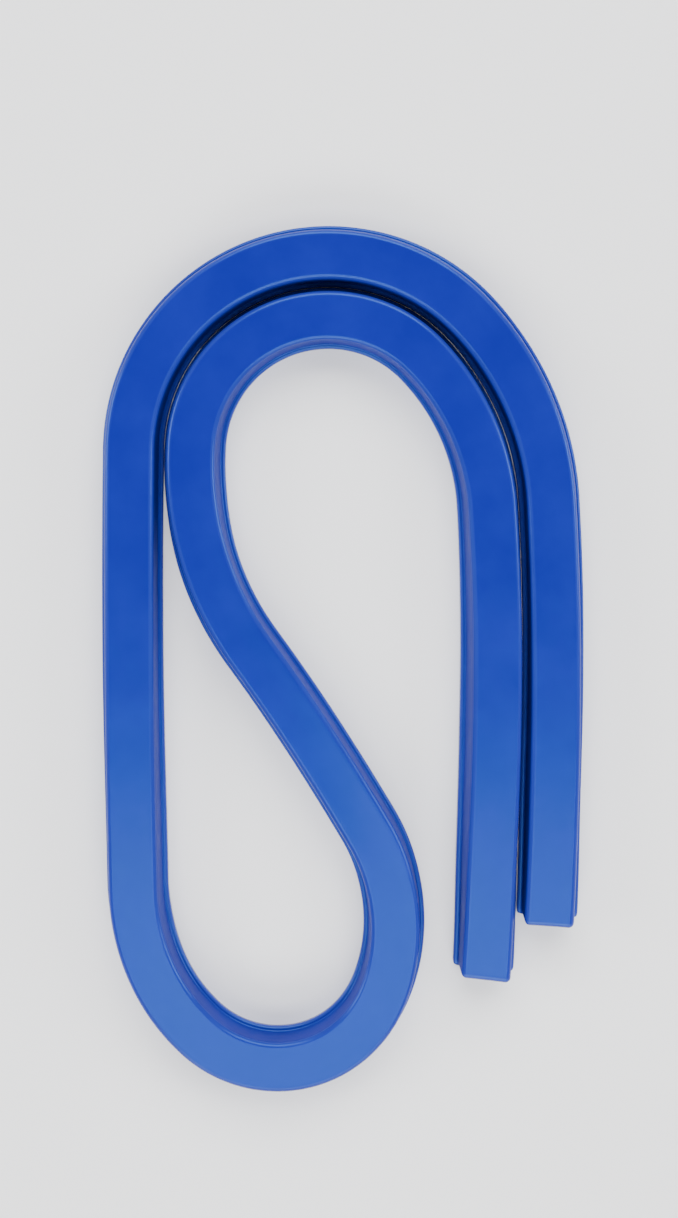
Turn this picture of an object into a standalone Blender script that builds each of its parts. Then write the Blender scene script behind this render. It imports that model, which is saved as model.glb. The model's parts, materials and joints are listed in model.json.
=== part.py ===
"""Flexible curve ruler, 600 mm long, bent into the doubled-back coil that it is stored in.

A soft PVC sheath with a ruling flange along both lower edges holds a lead core, which keeps any
bend it is given, and a spring-steel strip on each side of the core, which evens the bend out.
A plug closes the sheath's channel at each end. The sheath and the core are divided into rigid
links. Neighbouring links meet at an upright hinge axis on the centre line, so the chain bends in
its own plane as the real extrusion does. On the outside of each bend the links are notched, so
that they have room to straighten.

The origin is the centre of the coil's footprint, on the surface it lies on. +Z is up.
"""

import math

import bmesh
import bpy
from mathutils import Matrix, Vector

MM = 0.001

# The centre line, from the outer end to the inner end. Each span is one arc, and the arcs join
# without a corner: name, length in mm, turn to the left in degrees, number of links, and the
# share of its turn that the span gives up when the ruler is unrolled (over 1, it bends back).
SPANS = (
    ("outer_leg", 73.5, 8.0, 1, 1.0),
    ("arch_right", 37.0, 41.5, 3, 1.4),
    ("arch_top", 35.0, 58.5, 3, 1.5),
    ("arch_left", 45.0, 75.0, 4, 1.5),
    ("left_leg", 76.0, 3.0, 1, 0.0),
    ("loop_in", 28.0, 46.5, 1, 0.25),
    ("loop_base", 38.0, 108.0, 3, 0.25),
    ("loop_out", 29.0, 54.0, 1, 0.25),
    ("diagonal", 37.5, 6.0, 1, 0.25),
    ("crook_in", 37.5, -40.0, 2, 0.7),
    ("crook_top", 53.0, -131.5, 5, 0.7),
    ("crook_out", 29.0, -41.0, 2, 0.7),
    ("inner_leg", 81.5, -10.5, 1, 0.7),
)
START_HEADING = math.radians(86.0)
FIXED_LINK = "left_leg"

# Cross-section, in metres. The sheath's wall leans in a little towards the top.
FLANGE_HALF = 5.4 * MM
FLANGE_HEIGHT = 1.5 * MM
FLANGE_CHAMFER = 0.3 * MM
WALL_FOOT_HALF = 4.5 * MM
WALL_TOP_HALF = 4.25 * MM
SHEATH_HEIGHT = 8.4 * MM
TOP_CHAMFER = 0.6 * MM
CHANNEL_HALF = 2.6 * MM
CHANNEL_FLOOR = 1.6 * MM
CHANNEL_ROOF = 6.8 * MM
GAP = 0.3 * MM
CORE_HALF = 1.5 * MM
STRIP_THICKNESS = 0.4 * MM

# Along the ruler
RULER_LENGTH = sum(span[1] for span in SPANS) * MM
PLUG_LENGTH = 6.0 * MM
INNER_START = PLUG_LENGTH + GAP
RING_TURN = math.radians(7.0)
RING_SPACING = 12.0 * MM

# Hinges: half of the slit between two links, and how far a cutter reaches past the sheath
HALF_SLIT = 0.15 * MM
CUTTER_REACH = 8.0 * MM
CUTTER_PAST = 1.0 * MM


def arc_end(length, turn):
    """The frame at the end of an arc that leaves the origin along +X."""
    radius = length / turn
    offset = Vector((radius * math.sin(turn), radius * (1 - math.cos(turn)), 0))
    return Matrix.Translation(offset) @ Matrix.Rotation(turn, 4, "Z")


def arcs_between(start, end):
    """The arcs, as (length, turn), between two distances along the ruler.

    A stretch past either end keeps the curvature of the span there.
    """
    arcs = []
    reached = 0.0
    for number, (_, length, turn, _, _) in enumerate(SPANS):
        low = reached if number else -math.inf
        reached += length * MM
        high = reached if number < len(SPANS) - 1 else math.inf
        stretch = min(end, high) - max(start, low)
        if stretch > 0:
            arcs.append((stretch, math.radians(turn) * stretch / (length * MM)))
    return arcs


def ring_count(length, turn):
    """How many straight steps stand in for an arc."""
    return math.ceil(max(abs(turn) / RING_TURN, length / RING_SPACING))


def travel(arcs):
    frame = Matrix.Identity(4)
    for length, turn in arcs:
        frame = frame @ arc_end(length, turn)
    return frame


def footprint_centre():
    """The middle of the coil's outline when the outer end is at the origin."""
    frame = Matrix.Rotation(START_HEADING, 4, "Z")
    edges = []
    for length, turn in arcs_between(0, RULER_LENGTH):
        steps = ring_count(length, turn)
        for _ in range(steps):
            edges += [frame @ Vector((0, side * FLANGE_HALF, 0)) for side in (-1, 1)]
            frame = frame @ arc_end(length / steps, turn / steps)
    edges += [frame @ Vector((0, side * FLANGE_HALF, 0)) for side in (-1, 1)]
    middle = [(min(e[axis] for e in edges) + max(e[axis] for e in edges)) / 2 for axis in (0, 1)]
    return Vector((middle[0], middle[1], 0))


START = Matrix.Translation(-footprint_centre()) @ Matrix.Rotation(START_HEADING, 4, "Z")


def path_frame(distance):
    """The frame on the centre line, +X along it and +Y to its left, at a distance from the outer end."""
    if distance < 0:
        return START @ travel(arcs_between(distance, 0)).inverted()
    return START @ travel(arcs_between(0, distance))


def clear_scene():
    for obj in list(bpy.data.objects):
        bpy.data.objects.remove(obj)


def new_collection(name):
    collection = bpy.data.collections.new(name)
    bpy.context.scene.collection.children.link(collection)
    return collection


def new_material(name, colour, roughness, metallic=0.0):
    material = bpy.data.materials.new(name)
    material.use_nodes = True
    shader = material.node_tree.nodes["Principled BSDF"]
    shader.inputs["Base Color"].default_value = (*colour, 1.0)
    shader.inputs["Roughness"].default_value = roughness
    shader.inputs["Metallic"].default_value = metallic
    material.diffuse_color = (*colour, 1.0)
    return material


def add_object(name, bm, frame, collection, material=None):
    """An object whose origin is at frame, from a bmesh in world coordinates."""
    bmesh.ops.recalc_face_normals(bm, faces=bm.faces)
    mesh = bpy.data.meshes.new(name)
    bm.to_mesh(mesh)
    bm.free()
    mesh.transform(frame.inverted())
    if material:
        mesh.materials.append(material)
        mesh.shade_smooth()
        mesh.set_sharp_from_angle(angle=math.radians(30))
    obj = bpy.data.objects.new(name, mesh)
    obj.matrix_world = frame
    collection.objects.link(obj)
    return obj


def swept(profile, start, end):
    """A closed solid: a profile of (left, up) points, spun along the path from start to end."""
    bm = bmesh.new()
    frame = path_frame(start)
    corners = [bm.verts.new(frame @ Vector((0, left, up))) for left, up in profile]
    sides = [bm.edges.new(pair) for pair in zip(corners, corners[1:] + corners[:1])]
    ring = corners + sides
    for length, turn in arcs_between(start, end):
        centre = frame @ Vector((0, length / turn, 0))
        steps = ring_count(length, turn)
        spun = bmesh.ops.spin(bm, geom=ring, cent=centre, axis=(0, 0, 1), angle=turn, steps=steps)
        ring = spun["geom_last"]
        frame = frame @ arc_end(length, turn)
    bmesh.ops.holes_fill(bm, edges=[edge for edge in bm.edges if edge.is_boundary])
    return bm


def prism(outline, frame, low, high):
    """A flat outline of (along, left) points in a frame, extruded upwards from low to high."""
    bm = bmesh.new()
    base = bm.faces.new([bm.verts.new(frame @ Vector((*point, low))) for point in outline])
    raised = bmesh.ops.extrude_face_region(bm, geom=[base], use_keep_orig=True)
    lifted = [item for item in raised["geom"] if isinstance(item, bmesh.types.BMVert)]
    bmesh.ops.translate(bm, vec=(0, 0, high - low), verts=lifted)
    return bm


def mirrored(half):
    """A closed profile from its right-hand half, which runs from the bottom to the top."""
    return [(-left, up) for left, up in half] + [(left, up) for left, up in reversed(half)]


def box_profile(low_left, high_left, low, high):
    return [(low_left, low), (high_left, low), (high_left, high), (low_left, high)]


def sheath_profile():
    return mirrored(
        [
            (FLANGE_HALF, 0),
            (FLANGE_HALF, FLANGE_HEIGHT - FLANGE_CHAMFER),
            (FLANGE_HALF - FLANGE_CHAMFER, FLANGE_HEIGHT),
            (WALL_FOOT_HALF, FLANGE_HEIGHT),
            (WALL_TOP_HALF, SHEATH_HEIGHT - TOP_CHAMFER),
            (WALL_TOP_HALF - TOP_CHAMFER, SHEATH_HEIGHT),
        ]
    )


def channel_profile():
    return box_profile(-CHANNEL_HALF, CHANNEL_HALF, CHANNEL_FLOOR, CHANNEL_ROOF)


def plug_profile():
    half = CHANNEL_HALF - GAP
    return box_profile(-half, half, CHANNEL_FLOOR + GAP, CHANNEL_ROOF - GAP)


def core_profile():
    return box_profile(-CORE_HALF, CORE_HALF, CHANNEL_FLOOR + GAP, CHANNEL_ROOF - GAP)


def strip_profile(side):
    """A steel strip beside the core, on its left (1) or its right (-1)."""
    near = CORE_HALF + GAP
    left = sorted((side * near, side * (near + STRIP_THICKNESS)))
    return box_profile(left[0], left[1], CHANNEL_FLOOR + GAP, CHANNEL_ROOF - GAP)


def link_table():
    """Each link as a dict: name, start and end along the ruler, and the turn it gives up."""
    links = []
    reached = 0.0
    for span, length, turn, count, opens in SPANS:
        for number in range(count):
            name = f"{span}_{number + 1}" if count > 1 else span
            end = reached + length * MM / count
            given_up = math.radians(turn) * opens / count
            links.append({"name": name, "start": reached, "end": end, "given_up": given_up})
            reached = end
    return links


def link_cutter(name, distance, opening, ahead, cutters):
    """Trims a link at a hinge, leaving half of the slit between two links.

    The cut is square across on the inside of the bend. On the outside it slants back by half of
    the hinge's opening, which is the room that the link needs to turn. ahead is 1 for the link
    that ends at the hinge, and -1 for the one that starts there.
    """
    outside = -math.copysign(CUTTER_REACH, opening)
    back = HALF_SLIT + CUTTER_REACH * math.tan(abs(opening) / 2)
    outline = [
        (-ahead * HALF_SLIT, -outside),
        (-ahead * HALF_SLIT, 0),
        (-ahead * back, outside),
        (ahead * CUTTER_PAST, outside),
        (ahead * CUTTER_PAST, -outside),
    ]
    frame = path_frame(distance)
    bm = prism(outline, frame, -CUTTER_PAST, SHEATH_HEIGHT + CUTTER_PAST)
    return hide_cutter(add_object(name, bm, frame, cutters))


def hide_cutter(cutter):
    cutter.hide_render = True
    cutter.display_type = "WIRE"
    return cutter


def cut(obj, cutter):
    modifier = obj.modifiers.new(cutter.name, "BOOLEAN")
    modifier.operation = "DIFFERENCE"
    modifier.solver = "EXACT"
    modifier.object = cutter


def attach(child, parent):
    """Parents an object and leaves it where it is."""
    here = child.matrix_world.copy()
    child.parent = parent
    child.matrix_parent_inverse = parent.matrix_world.inverted()
    child.matrix_basis = here


def build_link(link, hinge, trims, parts, cutters, pvc, lead):
    """A link's sheath and core, with their origins on the hinge that the link turns about."""
    start, end, name = link["start"], link["end"], link["name"]
    frame = path_frame(hinge)
    sheath = add_object(f"sheath_{name}", swept(sheath_profile(), start, end), frame, parts, pvc)
    channel = swept(channel_profile(), start - CUTTER_PAST, end + CUTTER_PAST)
    cut(sheath, hide_cutter(add_object(f"channel_{name}", channel, frame, cutters)))
    core_start = max(start, INNER_START)
    core_end = min(end, RULER_LENGTH - INNER_START)
    core_solid = swept(core_profile(), core_start, core_end)
    core = add_object(f"lead_core_{name}", core_solid, frame, parts, lead)
    for trim in trims:
        cut(sheath, trim)
        cut(core, trim)
    attach(core, sheath)
    return sheath


def build_chain(parts, cutters, pvc, lead):
    """All links, each parented to its neighbour on the side of the fixed link."""
    links = link_table()
    fixed = next(i for i, link in enumerate(links) if link["name"] == FIXED_LINK)
    trims = [[] for _ in links]
    for i, (before, after) in enumerate(zip(links, links[1:])):
        opening = (before["given_up"] + after["given_up"]) / 2
        for link, ahead in ((i, 1), (i + 1, -1)):
            name = f"trim_{links[link]['name']}_{'end' if ahead > 0 else 'start'}"
            trims[link].append(link_cutter(name, before["end"], opening, ahead, cutters))
    sheaths = []
    for i, link in enumerate(links):
        hinge = link["end"] if i < fixed else link["start"]
        sheaths.append(build_link(link, hinge, trims[i], parts, cutters, pvc, lead))
    for i in reversed(range(fixed)):
        attach(sheaths[i], sheaths[i + 1])
    for i in range(fixed + 1, len(links)):
        attach(sheaths[i], sheaths[i - 1])
    return sheaths, sheaths[fixed]


def build_strips(fixed, parts, steel):
    for label, side in (("left", 1), ("right", -1)):
        solid = swept(strip_profile(side), INNER_START, RULER_LENGTH - INNER_START)
        strip = add_object(f"steel_strip_{label}", solid, path_frame(0), parts, steel)
        attach(strip, fixed)


def build_plugs(sheaths, parts, pvc):
    ends = (("outer", 0, PLUG_LENGTH, 0), ("inner", RULER_LENGTH - PLUG_LENGTH, RULER_LENGTH, -1))
    for label, start, end, link in ends:
        solid = swept(plug_profile(), start, end)
        attach(add_object(f"end_plug_{label}", solid, path_frame(start), parts, pvc), sheaths[link])


def main():
    clear_scene()
    parts = new_collection("flexible_curve")
    cutters = new_collection("cutters")
    pvc = new_material("sheath_pvc", (0.012, 0.066, 0.43), 0.32)
    plug_pvc = new_material("plug_pvc", (0.010, 0.058, 0.39), 0.4)
    lead = new_material("core_lead", (0.13, 0.135, 0.145), 0.6, 1.0)
    steel = new_material("strip_steel", (0.45, 0.46, 0.48), 0.3, 1.0)
    sheaths, fixed = build_chain(parts, cutters, pvc, lead)
    build_strips(fixed, parts, steel)
    build_plugs(sheaths, parts, plug_pvc)


main()
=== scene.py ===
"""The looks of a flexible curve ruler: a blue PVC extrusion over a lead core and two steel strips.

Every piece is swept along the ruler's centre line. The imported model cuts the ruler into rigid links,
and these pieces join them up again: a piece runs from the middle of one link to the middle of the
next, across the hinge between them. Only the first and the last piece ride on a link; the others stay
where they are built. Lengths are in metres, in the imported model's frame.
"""

import json
import math

import bmesh
import bpy
from mathutils import Matrix, Vector

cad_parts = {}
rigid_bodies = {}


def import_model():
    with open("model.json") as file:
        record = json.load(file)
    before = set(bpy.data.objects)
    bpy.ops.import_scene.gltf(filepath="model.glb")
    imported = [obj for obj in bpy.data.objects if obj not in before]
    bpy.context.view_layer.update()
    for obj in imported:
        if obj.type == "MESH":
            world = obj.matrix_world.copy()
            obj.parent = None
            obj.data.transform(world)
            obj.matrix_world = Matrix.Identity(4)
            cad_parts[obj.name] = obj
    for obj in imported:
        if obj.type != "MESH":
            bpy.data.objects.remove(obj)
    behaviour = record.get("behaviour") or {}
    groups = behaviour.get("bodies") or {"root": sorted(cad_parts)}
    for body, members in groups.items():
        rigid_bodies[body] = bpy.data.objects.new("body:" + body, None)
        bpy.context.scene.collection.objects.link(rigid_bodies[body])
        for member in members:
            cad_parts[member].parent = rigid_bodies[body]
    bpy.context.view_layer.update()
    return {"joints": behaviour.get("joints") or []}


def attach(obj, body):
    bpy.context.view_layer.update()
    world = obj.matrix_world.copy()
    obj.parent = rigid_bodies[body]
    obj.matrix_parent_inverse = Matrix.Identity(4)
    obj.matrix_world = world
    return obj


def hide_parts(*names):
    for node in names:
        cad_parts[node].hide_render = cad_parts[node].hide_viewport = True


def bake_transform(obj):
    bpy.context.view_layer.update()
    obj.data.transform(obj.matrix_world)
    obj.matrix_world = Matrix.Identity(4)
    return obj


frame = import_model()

MM = 0.001

# The centre line, from the outer end to the inner end: span, length in mm, turn to the left in
# degrees, number of links.
SPANS = (
    ("outer_leg", 73.5, 8.0, 1),
    ("arch_right", 37.0, 41.5, 3),
    ("arch_top", 35.0, 58.5, 3),
    ("arch_left", 45.0, 75.0, 4),
    ("left_leg", 76.0, 3.0, 1),
    ("loop_in", 28.0, 46.5, 1),
    ("loop_base", 38.0, 108.0, 3),
    ("loop_out", 29.0, 54.0, 1),
    ("diagonal", 37.5, 6.0, 1),
    ("crook_in", 37.5, -40.0, 2),
    ("crook_top", 53.0, -131.5, 5),
    ("crook_out", 29.0, -41.0, 2),
    ("inner_leg", 81.5, -10.5, 1),
)
RULER_LENGTH = sum(span[1] for span in SPANS) * MM

# Where the real ruler strays from that line, in mm: (distance from the outer end, underside to the
# left, top face to the left). It leans and shifts a little in its bends, and its strands nearly touch,
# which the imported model's upright links don't follow.
DRIFT = (
    (0.0, 0.55, 1.1),
    (20.0, 1.06, 1.2),
    (40.0, 0.8, 1.05),
    (60.0, 0.37, 0.8),
    (80.0, 0.11, 0.5),
    (100.0, 0.02, 0.2),
    (110.0, -0.16, 0.1),
    (135.0, -0.08, 0.0),
    (180.0, -0.08, 0.0),
    (200.0, -0.05, 0.1),
    (225.0, 0.0, 0.2),
    (270.0, 0.0, 0.0),
    (290.0, -1.3, -0.5),
    (305.0, -1.8, -0.7),
    (318.0, -1.5, -0.6),
    (334.0, 0.0, 0.2),
    (354.0, 1.2, 1.0),
    (395.0, 1.2, 0.8),
    (414.0, 1.0, 0.6),
    (430.0, 0.4, 0.6),
    (480.0, 0.4, 0.7),
    (500.0, 0.2, 0.4),
    (520.0, -0.05, 0.3),
    (540.0, -0.42, 0.2),
    (560.0, -0.65, 0.05),
    (580.0, -0.25, 0.15),
    (600.0, 1.0, 0.85),
)

# Half of the sheath's section: (to the side, up, radius of the corner) in mm, from the underside's edge
# up to the top face's edge.
SHEATH_HALF = (
    (5.4, 0.0, 0.25),
    (5.4, 1.5, 0.5),
    (4.5, 1.5, 0.35),
    (4.25, 8.4, 0.95),
)
SHEATH_HEIGHT = SHEATH_HALF[-1][1] * MM
TOP_DISH = 0.07 * MM
FLANGE_HEIGHT = 1.5 * MM
FLANGE_INSIDE = 4.6 * MM
WALL_NORMAL = 0.9
SHOULDER_LOW = 0.3
SHOULDER_HIGH = 0.97
# Shares of painted light in the PVC's colour: the outer flange is painted lighter for light shining through
# it, and the shoulders and the rounded ends get a painted highlight.
FLANGE_PAINTED_LIGHT = 0.9
SHOULDER_PAINTED_HIGHLIGHT = 0.45
END_PAINTED_HIGHLIGHT = 1.0
CHANNEL_HALF = 2.6 * MM
CHANNEL_MIDDLE = 4.2 * MM
PLUG_SECTION = ((2.3, 1.9, 0.4), (2.3, 6.5, 0.4))
PLUG_LENGTH = 6.0 * MM
PLUG_RECESS = 0.25 * MM
CORE_SECTION = ((1.5, 1.9, 0.3), (1.5, 6.5, 0.3))
STRIP_NEAR = 1.8
STRIP_FAR = 2.2
STRIP_LOW = 1.9
STRIP_HIGH = 6.5
STRIP_EDGE = 0.12
INSIDE_START = 6.3 * MM
END_ROUNDING = 1.0 * MM
END_FACETS = 5
FOOT_ROUNDING = 0.25

# How finely the sweeps are cut
RING_TURN = math.radians(1.2)
RING_SPACING = 1.5 * MM
CORNER_STEP = math.radians(15)
FLAT_STEP = 0.7 * MM
SHARP_ANGLE = math.radians(35)

# Lengths that differ by less than this are the same, and stations that agree to this many digits
TINY = 0.001 * MM
SAME_DIGITS = 9


# ---------------------------------------------------------------- the centre line


def arc_end(length, turn):
    """The frame at the end of an arc that leaves the origin along +X."""
    radius = length / turn
    offset = Vector((radius * math.sin(turn), radius * (1 - math.cos(turn)), 0))
    return Matrix.Translation(offset) @ Matrix.Rotation(turn, 4, "Z")


def local_frame(distance):
    """The frame on the centre line at a distance from the outer end, which lies at the origin."""
    here = Matrix.Identity(4)
    remaining = distance
    for number, (_, length, turn, _) in enumerate(SPANS):
        length, turn = length * MM, math.radians(turn)
        if remaining <= length or number == len(SPANS) - 1:
            return here @ arc_end(remaining, turn * remaining / length) if remaining else here
        here = here @ arc_end(length, turn)
        remaining -= length


def link_table():
    """(body, start, end) of every link, from the outer end."""
    links, reached = [], 0.0
    for span, length, _, count in SPANS:
        for number in range(count):
            name = f"{span}_{number + 1}" if count > 1 else span
            links.append((name, reached, reached + length * MM / count))
            reached += length * MM / count
    return links


LINKS = link_table()


def hinge_point(number):
    """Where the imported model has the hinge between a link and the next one."""
    pair = {LINKS[number][0], LINKS[number + 1][0]}
    joint = next(j for j in frame["joints"] if {j["parent"], j["child"]} == pair)
    return Vector(joint["pos_m"])


def placed_start():
    """The frame at the outer end that lays the centre line through the first and last hinges."""
    first, last = 0, len(LINKS) - 2
    local = [local_frame(LINKS[i][2]).translation for i in (first, last)]
    real = [hinge_point(i) for i in (first, last)]
    turn = (real[1] - real[0]).to_2d().angle_signed((local[1] - local[0]).to_2d())
    spin = Matrix.Rotation(turn, 4, "Z")
    return Matrix.Translation(real[0] - spin @ local[0]) @ spin


START = placed_start()


def path_frame(distance):
    """The frame on the centre line at a distance from the outer end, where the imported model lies."""
    return START @ local_frame(distance)


def drift(distance):
    """(underside to the left, top face to the left) in metres, on a smooth curve through DRIFT."""
    here = distance / MM
    last = len(DRIFT) - 2
    k = min(last, max(0, sum(row[0] < here for row in DRIFT) - 1))
    before, low, high, after = (DRIFT[min(last + 1, max(0, k + step))] for step in (-1, 0, 1, 2))
    span = high[0] - low[0]
    t = min(1.0, max(0.0, (here - low[0]) / span))
    shifts = []
    for column in (1, 2):
        rise_in = (high[column] - before[column]) / (high[0] - before[0]) * span
        rise_out = (after[column] - low[column]) / (after[0] - low[0]) * span
        shifts.append(
            (2 * t**3 - 3 * t**2 + 1) * low[column]
            + (t**3 - 2 * t**2 + t) * rise_in
            + (3 * t**2 - 2 * t**3) * high[column]
            + (t**3 - t**2) * rise_out
        )
    return [shift * MM for shift in shifts]


def section_placer(distance):
    """A function that puts a point of the section, (side, up), where it belongs at this distance."""
    here = path_frame(distance)
    under, top = drift(distance)

    def place(side, up):
        return here @ Vector((0, under + (top - under) * up / SHEATH_HEIGHT - side, up))

    return place


def stations(start, end):
    """Distances along the ruler at which a sweep has a ring."""
    found, reached = [start], 0.0
    for _, length, turn, _ in SPANS:
        low, high = max(start, reached), min(end, reached + length * MM)
        if high - low > TINY:
            share = (high - low) / (length * MM)
            steps = math.ceil(max(abs(math.radians(turn)) * share / RING_TURN, (high - low) / RING_SPACING))
            found += [low + (high - low) * step / steps for step in range(1, steps + 1)]
        reached += length * MM
    return found


# ---------------------------------------------------------------- sections


def rounded(corners):
    """A closed section with rounded corners, as (side, up, outward side, outward up) in metres.

    corners are (side, up, radius) in mm, anticlockwise.
    """
    points = []
    count = len(corners)
    for i, (x, y, radius) in enumerate(corners):
        here = Vector((x, y))
        before = (Vector(corners[i - 1][:2]) - here).normalized()
        after = (Vector(corners[(i + 1) % count][:2]) - here).normalized()
        half = before.angle(after) / 2
        convex = before.x * after.y - before.y * after.x < 0
        centre = here + (before + after).normalized() * radius / math.sin(half)
        turn = math.pi - 2 * half
        steps = max(2, math.ceil(turn / CORNER_STEP))
        first = here + before * radius / math.tan(half) - centre
        for step in range(steps + 1):
            angle = (turn if convex else -turn) * step / steps
            spoke = Matrix.Rotation(angle, 2) @ first
            point = (centre + spoke) * MM
            normal = spoke.normalized() * (1 if convex else -1)
            points.append((point.x, point.y, normal.x, normal.y))
    return points


def with_flats(points):
    """Adds points along the straight sides of a section, so that a flat can carry detail."""
    full = []
    for here, after in zip(points, points[1:] + points[:1]):
        full.append(here)
        gap = math.dist(here[:2], after[:2])
        steps = math.ceil(gap / FLAT_STEP)
        for step in range(1, steps):
            share = step / steps
            side, up = (here[k] + (after[k] - here[k]) * share for k in (0, 1))
            full.append((side, up, here[2], here[3]))
    return full


def symmetric(half):
    """A section that is the same on both sides, from its right-hand corners, bottom to top."""
    return list(half) + [(-x, y, radius) for x, y, radius in reversed(half)]


def sheath_section():
    """The extrusion's outside: two flanges, walls that lean in, and a top face that dishes slightly."""
    section = []
    half = SHEATH_HALF[-1][0] * MM
    for side, up, out_side, out_up in with_flats(rounded(symmetric(SHEATH_HALF))):
        if up > SHEATH_HEIGHT - TINY:
            up -= TOP_DISH * max(0.0, 1 - (side / half) ** 2)
        section.append((side, up, out_side, out_up))
    return section


def strip_section(side):
    """A steel strip's section, on the right (1) or the left (-1) of the core."""
    near, far = sorted((side * STRIP_NEAR, side * STRIP_FAR))
    return rounded(
        [
            (near, STRIP_LOW, STRIP_EDGE),
            (far, STRIP_LOW, STRIP_EDGE),
            (far, STRIP_HIGH, STRIP_EDGE),
            (near, STRIP_HIGH, STRIP_EDGE),
        ]
    )


def channel_point(side, up):
    """Where a line from the channel's axis towards a point of the section meets the channel's wall."""
    away = Vector((side, up - CHANNEL_MIDDLE))
    away *= CHANNEL_HALF / max(abs(away.x), abs(away.y))
    return away.x, CHANNEL_MIDDLE + away.y


# ---------------------------------------------------------------- sweeps


def end_inset(distance):
    """How far the rounding of the nearer end draws the section in, at this distance along the ruler."""
    near = min(distance, RULER_LENGTH - distance)
    if near >= END_ROUNDING:
        return 0.0
    return END_ROUNDING - math.sqrt(max(0.0, END_ROUNDING**2 - (END_ROUNDING - near) ** 2))


def end_stations(start, end):
    """stations(), with more of them where the ends are rounded."""
    extra = [END_ROUNDING * (1 - math.cos(math.pi / 2 * i / END_FACETS)) for i in range(END_FACETS + 1)]
    extra += [RULER_LENGTH - distance for distance in extra]
    inside = [distance for distance in extra if start <= distance <= end]
    return sorted({round(distance, SAME_DIGITS) for distance in stations(start, end) + inside})


def painted_light_share(side, up, out_up):
    """How much painted light the PVC gets at a point: the thin flange is painted lighter for the light that
    shines through it, and the shoulder gets a painted highlight.
    """
    if up <= FLANGE_HEIGHT:
        return FLANGE_PAINTED_LIGHT * (abs(side) > FLANGE_INSIDE)
    return SHOULDER_PAINTED_HIGHLIGHT * (SHOULDER_LOW < out_up < SHOULDER_HIGH)


def add_rings(bm, section, places, hollow, rounds):
    """The rings of vertices at these places, outside and in the bore. They carry two looks as
    attributes: "wall" is 1 on the walls, and the other one holds the painted light: how much the
    flange is painted lighter for light shining through it, and the painted highlights on the shoulders
    and the rounded ends."""
    wall_layer = bm.verts.layers.float.new("wall")
    painted_light_layer = bm.verts.layers.float.new("painted_light")
    outer, inner = [], []
    for distance in places:
        place = section_placer(distance)
        inset = end_inset(distance) if rounds else 0.0
        ring, bore = [], []
        for side, up, out_side, out_up in section:
            share = inset * (FOOT_ROUNDING + (1 - FOOT_ROUNDING) * up / SHEATH_HEIGHT)
            vert = bm.verts.new(place(side - out_side * share, up - out_up * share))
            vert[wall_layer] = float(abs(out_side) > WALL_NORMAL and up > FLANGE_HEIGHT)
            # Painted light: the outer flange is painted lighter for light shining through it, and the
            # shoulders and the rounded ends get a painted highlight.
            vert[painted_light_layer] = max(painted_light_share(side, up, out_up), END_PAINTED_HIGHLIGHT * (inset > 0))
            ring.append(vert)
            if hollow:
                bore.append(bm.verts.new(place(*channel_point(side, up))))
        outer.append(ring)
        inner.append(bore)
    return outer, inner


def add_face(bm, uv, corners, coordinates):
    face = bm.faces.new(corners)
    face.smooth = True
    for loop, coordinate in zip(face.loops, coordinates):
        loop[uv].uv = coordinate


def add_wall(bm, uv, rings, places, around, step):
    """The faces from ring to ring. A step of -1 turns them inwards."""
    count = len(rings[0])
    for k in range(len(places) - 1):
        for i in range(count):
            j = (i + 1) % count
            corners = (rings[k][i], rings[k][j], rings[k + 1][j], rings[k + 1][i])
            where = (
                (places[k], around[i]),
                (places[k], around[i + 1]),
                (places[k + 1], around[i + 1]),
                (places[k + 1], around[i]),
            )
            add_face(bm, uv, corners[::step], where[::step])


def add_end(bm, uv, ring, bore, step):
    """The end face: whole, or a rim around the bore."""
    if bore:
        count = len(ring)
        for i in range(count):
            j = (i + 1) % count
            corners = (ring[i], ring[j], bore[j], bore[i])
            add_face(bm, uv, corners[::step], [(v.co.x, v.co.y) for v in corners][::step])
    else:
        add_face(bm, uv, ring[::step], [(v.co.x, v.co.y) for v in ring][::step])


def sweep(name, section, start, end, hollow=False, rounds=False):
    """A closed mesh of a section along the ruler, with a UV map in metres: along, and around."""
    bm = bmesh.new()
    uv = bm.loops.layers.uv.new("UVMap")
    around = [0.0]
    for here, after in zip(section, section[1:] + section[:1]):
        around.append(around[-1] + math.dist(here[:2], after[:2]))
    places = end_stations(start, end) if rounds else stations(start, end)
    outer, inner = add_rings(bm, section, places, hollow, rounds)
    add_wall(bm, uv, outer, places, around, 1)
    if hollow:
        add_wall(bm, uv, inner, places, around, -1)
    add_end(bm, uv, outer[0], inner[0], -1)
    add_end(bm, uv, outer[-1], inner[-1], 1)
    bmesh.ops.recalc_face_normals(bm, faces=bm.faces)
    mesh = bpy.data.meshes.new(name)
    bm.to_mesh(mesh)
    bm.free()
    mesh.set_sharp_from_angle(angle=SHARP_ANGLE)
    piece = bpy.data.objects.new(name, mesh)
    bpy.context.scene.collection.objects.link(piece)
    return piece


def blend_reach(number):
    """How far the bend at a hinge reaches along each of its two links, and stays clear of their middles."""
    hinge = path_frame(LINKS[number][2])
    reach = math.inf
    for _, start, end in (LINKS[number], LINKS[number + 1]):
        place = section_placer((start + end) / 2)
        for side in (-1, 1):
            corner = hinge.inverted() @ place(side * SHEATH_HALF[0][0] * MM, 0.0)
            reach = min(reach, abs(corner.x))
    return reach


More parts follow.
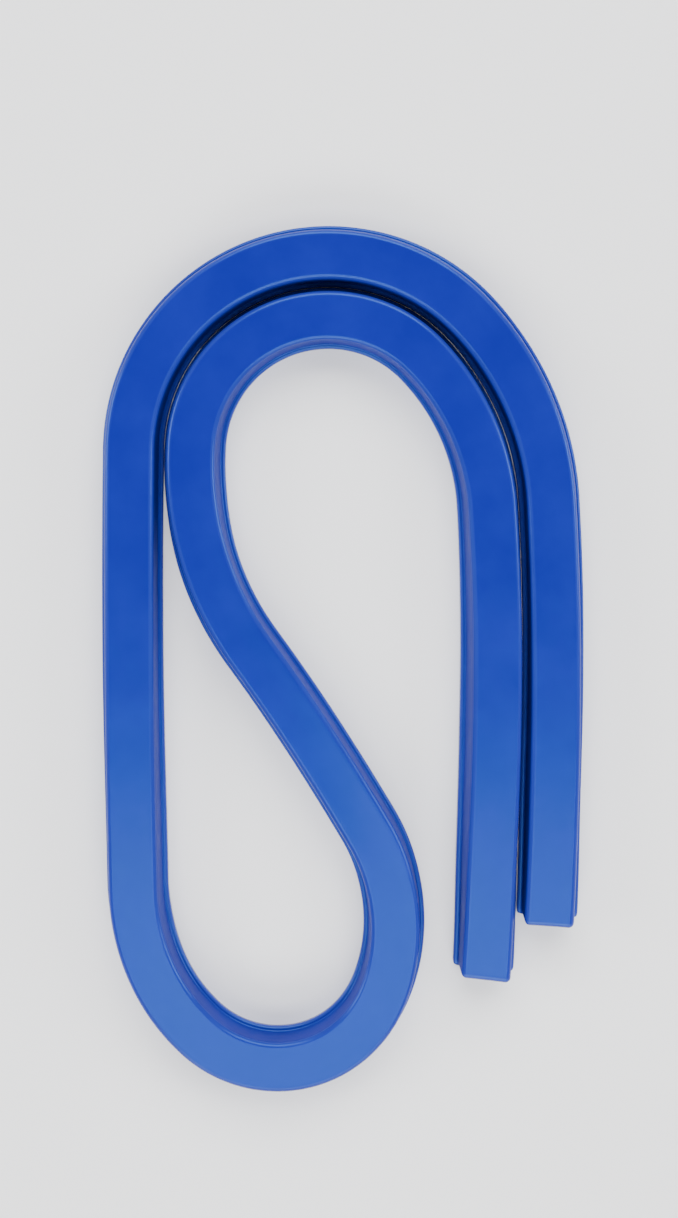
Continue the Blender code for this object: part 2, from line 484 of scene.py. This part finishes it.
def sweep_ruler(name, section, material, slot, nodes, low=0.0, high=RULER_LENGTH, **options):
    """A section along the whole ruler, in pieces that run across the hinges. Only the first and the last
    piece ride on a link.

    nodes is a function from a link's body to the CAD nodes of this section in that link.
    """
    middles = [low] + [(start + end) / 2 for _, start, end in LINKS] + [high]
    for number, (start, end) in enumerate(zip(middles, middles[1:])):
        piece = sweep(f"{name}_{number + 1:02d}", section, start, end, **options)
        piece.data.materials.append(material)
        before, after = number - 1, number
        if before < 0:
            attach(piece, LINKS[after][0])
            bodies = [LINKS[after][0]]
        elif after == len(LINKS):
            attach(piece, LINKS[before][0])
            bodies = [LINKS[before][0]]
        else:
            bodies = [LINKS[before][0], LINKS[after][0]]
            hinge = path_frame(LINKS[before][2])
            along = hinge.to_3x3() @ Vector((blend_reach(before), 0, 0))
            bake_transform(piece)
        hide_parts(*sorted({node for body in bodies for node in nodes(body)}))


# ---------------------------------------------------------------- materials


# The PVC mirrors the room in blue. Its walls are duller than its top face and mirror less of it.
SHEEN_TINT = (0.12, 0.42, 1.0, 1.0)
PLAIN_SPECULAR = 0.5
WALL_SPECULAR = 0.32
WALL_DULLNESS = 0.5
PVC_IOR = 1.53

# The colour sockets of Blender's Mix node, which share their names with its other sockets
MIX_FIRST, MIX_SECOND, MIX_RESULT = 6, 7, 2

FULL = (0.0, 1.0)


class Nodes:
    """A material's node tree, built by name."""

    def __init__(self, name):
        self.material = bpy.data.materials.new(name)
        self.material.use_nodes = True
        self.tree = self.material.node_tree
        self.shader = self.tree.nodes["Principled BSDF"]

    def feed(self, socket, source):
        """Links a socket to another one, or sets it to a value."""
        if isinstance(source, bpy.types.NodeSocket):
            self.tree.links.new(source, socket)
        else:
            socket.default_value = source

    def add(self, kind, links=None, **settings):
        node = self.tree.nodes.new(f"ShaderNode{kind}")
        for key, value in settings.items():
            setattr(node, key, value)
        for name, source in (links or {}).items():
            self.feed(node.inputs[name], source)
        return node

    def noise(self, where, scale, detail, roughness=0.5):
        return self.add(
            "TexNoise", {"Vector": where, "Scale": scale, "Detail": detail, "Roughness": roughness}
        ).outputs["Fac"]

    def stretched(self, where, along, around):
        return self.add("Mapping", {"Vector": where, "Scale": (along, around, 1.0)}).outputs["Vector"]

    def ranged(self, value, source, target):
        """A value carried over from one range, (low, high), to another."""
        limits = {"From Min": source[0], "From Max": source[1], "To Min": target[0], "To Max": target[1]}
        return self.add("MapRange", {"Value": value, **limits}).outputs["Result"]

    def mixed(self, factor, first, second):
        links = {"Factor": factor, MIX_FIRST: first, MIX_SECOND: second}
        return self.add("Mix", links, data_type="RGBA").outputs[MIX_RESULT]

    def total(self, first, second):
        return self.add("Math", {0: first, 1: second}, operation="ADD").outputs["Value"]

    def set(self, **values):
        for name, source in values.items():
            self.feed(self.shader.inputs[name.replace("_", " ")], source)
        return self.material

    def bump(self, height, distance, strength, under=None):
        links = {"Height": height, "Distance": distance, "Strength": strength}
        if under:
            links["Normal"] = under
        return self.add("Bump", links).outputs["Normal"]


def pvc(name, deep, plain, painted_light_colour, roughness):
    """Extruded PVC: slightly cloudy colour, painted light (a lighter flange where light shines through it,
    painted highlights on the shoulders and the ends), faint lines from the die, and a few scuffs.
    """
    made = Nodes(name)
    where = made.add("UVMap", uv_map="UVMap").outputs["UV"]
    clouds = made.noise(where, scale=75.0, detail=3.0, roughness=0.55)
    lines = made.noise(
        made.stretched(where, along=6.0, around=1400.0), scale=1.0, detail=2.0, roughness=0.6
    )
    grain = made.noise(where, scale=2600.0, detail=2.0, roughness=0.6)
    scuffs = made.noise(
        made.stretched(where, along=260.0, around=700.0), scale=1.0, detail=4.0, roughness=0.7
    )
    gloss = made.ranged(made.total(clouds, scuffs), (0.7, 1.3), roughness)
    wall = made.add("Attribute", attribute_name="wall").outputs["Fac"]
    dullness = made.ranged(wall, FULL, (0.0, WALL_DULLNESS))
    # The mask of the painted light: a lighter flange for light shining through it, and painted highlights
    # on the shoulders and the ends.
    painted_light = made.add("Attribute", attribute_name="painted_light").outputs["Fac"]
    body = made.mixed(made.ranged(clouds, (0.35, 0.65), FULL), deep, plain)
    normal = made.bump(lines, distance=0.01 * MM, strength=0.3)
    normal = made.bump(clouds, distance=0.05 * MM, strength=0.3, under=normal)
    normal = made.bump(grain, distance=0.004 * MM, strength=0.4, under=normal)
    return made.set(
        Base_Color=made.mixed(painted_light, body, painted_light_colour),
        Roughness=made.total(gloss, dullness),
        Specular_IOR_Level=made.ranged(wall, FULL, (PLAIN_SPECULAR, WALL_SPECULAR)),
        Specular_Tint=SHEEN_TINT,
        Normal=normal,
        IOR=PVC_IOR,
    )


def metal(name, dark, bright, roughness, line_scale, mottle_scale):
    """Drawn or rolled metal, with lines along it and a mottled surface."""
    made = Nodes(name)
    where = made.add("UVMap", uv_map="UVMap").outputs["UV"]
    lines = made.noise(
        made.stretched(where, along=15.0, around=line_scale), scale=1.0, detail=3.0, roughness=0.65
    )
    mottle = made.noise(where, scale=mottle_scale, detail=4.0, roughness=0.6)
    normal = made.bump(lines, distance=0.02 * MM, strength=0.5)
    normal = made.bump(mottle, distance=0.05 * MM, strength=0.4, under=normal)
    return made.set(
        Base_Color=made.mixed(made.ranged(mottle, (0.3, 0.7), FULL), dark, bright),
        Roughness=made.ranged(lines, (0.3, 0.7), roughness),
        Metallic=1.0,
        Normal=normal,
    )


def floor_material():
    made = Nodes("floor_paper")
    where = made.add("TexCoord").outputs["Object"]
    cloud = made.noise(where, scale=9.0, detail=3.0)
    tooth = made.noise(where, scale=1800.0, detail=2.0)
    return made.set(
        Base_Color=made.mixed(cloud, (0.83, 0.835, 0.85, 1.0), (0.87, 0.87, 0.88, 1.0)),
        Roughness=made.ranged(tooth, (0.3, 0.7), (0.6, 0.75)),
        Normal=made.bump(tooth, distance=0.02 * MM, strength=0.2),
    )


# ---------------------------------------------------------------- the ruler


def build_sheath(material):
    sweep_ruler(
        "sheath_skin", sheath_section(), material, "sheath_pvc", lambda body: [f"sheath_{body}"],
        hollow=True, rounds=True,
    )


def build_inside(lead, steel):
    span = {"low": INSIDE_START, "high": RULER_LENGTH - INSIDE_START}
    core = rounded(symmetric(CORE_SECTION))
    sweep_ruler("lead_core", core, lead, "core_lead", lambda body: [f"lead_core_{body}"], **span)
    for label, side in (("left", -1), ("right", 1)):
        node = f"steel_strip_{label}"
        sweep_ruler(node, strip_section(side), steel, "strip_steel", lambda body, n=node: [n], **span)


def build_plugs(material):
    section = rounded(symmetric(PLUG_SECTION))
    ends = (
        ("outer", PLUG_RECESS, PLUG_LENGTH, LINKS[0][0]),
        ("inner", RULER_LENGTH - PLUG_LENGTH, RULER_LENGTH - PLUG_RECESS, LINKS[-1][0]),
    )
    for label, start, end, body in ends:
        plug = sweep(f"plug_{label}", section, start, end)
        plug.data.materials.append(material)
        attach(plug, body)
        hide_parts(f"end_plug_{label}")


# ---------------------------------------------------------------- the studio


FLOOR_SIZE = 6.0
CAMERA_HEIGHT = 298.4 * MM
FRAME_CENTRE = Vector((-1.05 * MM, 8.6 * MM, 0.0))
CAMERA_NORTH = 40.0 * MM
SENSOR_LONG_SIDE = 36.0
FRAME_LENGTH = 209.64 * MM

# Soft lamps to the sides and none overhead, as for flat copy, so that the slots between the strands
# stay dark: name, place and size in metres, power in watts. "sheen" shows in the lower top faces.
LAMPS = (
    ("key", (0.2, 1.9, 1.8), (2.6, 1.7), 115.0),
    ("fill_left", (-2.3, 0.3, 1.2), (1.0, 1.0), 34.0),
    ("fill_right", (2.3, 0.3, 1.2), (1.0, 1.0), 34.0),
    ("sheen", (0.0, -0.9, 2.2), (1.8, 0.7), 27.0),
    ("low_front", (0.0, -1.9, 1.6), (2.4, 0.9), 60.0),
)

# The room is pale at the horizon and dim overhead: height from and to, strength from and to
SKY_COLOUR = (0.97, 0.98, 1.0, 1.0)
SKY_FADE = (0.05, 0.6, 1.0, 0.28)


def build_floor():
    mesh = bpy.data.meshes.new("floor")
    bm = bmesh.new()
    bmesh.ops.create_grid(bm, x_segments=8, y_segments=8, size=FLOOR_SIZE / 2)
    bm.to_mesh(mesh)
    bm.free()
    mesh.materials.append(floor_material())
    floor = bpy.data.objects.new("floor", mesh)
    bpy.context.scene.collection.objects.link(floor)


def add_light(name, place, size, power):
    light = bpy.data.lights.new(name, "AREA")
    light.shape = "RECTANGLE"
    light.size, light.size_y = size
    light.energy = power
    lamp = bpy.data.objects.new(name, light)
    lamp.location = place
    lamp.rotation_mode = "QUATERNION"
    lamp.rotation_quaternion = (-Vector(place)).to_track_quat("-Z", "Y")
    bpy.context.scene.collection.objects.link(lamp)


def build_lights():
    for lamp in LAMPS:
        add_light(*lamp)
    world = bpy.context.scene.world or bpy.data.worlds.new("World")
    bpy.context.scene.world = world
    world.use_nodes = True
    nodes, links = world.node_tree.nodes, world.node_tree.links
    sky = nodes["Background"]
    sky.inputs["Color"].default_value = SKY_COLOUR
    where = nodes.new("ShaderNodeTexCoord")
    split = nodes.new("ShaderNodeSeparateXYZ")
    fade = nodes.new("ShaderNodeMapRange")
    for name, value in zip(("From Min", "From Max", "To Min", "To Max"), SKY_FADE):
        fade.inputs[name].default_value = value
    links.new(where.outputs["Generated"], split.inputs["Vector"])
    links.new(split.outputs["Z"], fade.inputs["Value"])
    links.new(fade.outputs["Result"], sky.inputs["Strength"])


def build_camera():
    """Looks straight down from above the ruler's upper half, with the lens shifted to the frame's
    centre, because that shows the same walls as the photograph."""
    data = bpy.data.cameras.new("camera")
    camera = bpy.data.objects.new("camera", data)
    bpy.context.scene.collection.objects.link(camera)
    camera.location = FRAME_CENTRE + Vector((0.0, CAMERA_NORTH, CAMERA_HEIGHT))
    data.sensor_width = SENSOR_LONG_SIDE
    data.lens = SENSOR_LONG_SIDE * (CAMERA_HEIGHT - SHEATH_HEIGHT) / FRAME_LENGTH
    data.shift_y = -CAMERA_NORTH / FRAME_LENGTH
    data.clip_start = 0.01
    data.clip_end = 20.0
    bpy.context.scene.camera = camera


def main():
    # The colour of the painted light: the flange lit through and the painted highlights on the shoulders
    # and ends.
    painted_light_colour = (0.022, 0.036, 0.27, 1.0)
    sheath = pvc(
        "sheath_pvc_look",
        deep=(0.006, 0.008, 0.195, 1.0),
        plain=(0.008, 0.011, 0.220, 1.0),
        painted_light_colour=painted_light_colour,
        roughness=(0.17, 0.26),
    )
    plug = pvc(
        "plug_pvc_look",
        deep=(0.005, 0.007, 0.17, 1.0),
        plain=(0.007, 0.010, 0.19, 1.0),
        painted_light_colour=painted_light_colour,
        roughness=(0.3, 0.42),
    )
    lead = metal(
        "core_lead_look",
        dark=(0.12, 0.125, 0.135, 1.0),
        bright=(0.24, 0.245, 0.26, 1.0),
        roughness=(0.5, 0.75),
        line_scale=900.0,
        mottle_scale=500.0,
    )
    steel = metal(
        "strip_steel_look",
        dark=(0.5, 0.5, 0.51, 1.0),
        bright=(0.62, 0.625, 0.64, 1.0),
        roughness=(0.2, 0.38),
        line_scale=4000.0,
        mottle_scale=150.0,
    )
    build_sheath(sheath)
    build_inside(lead, steel)
    build_plugs(plug)
    build_floor()
    build_lights()
    build_camera()


main()
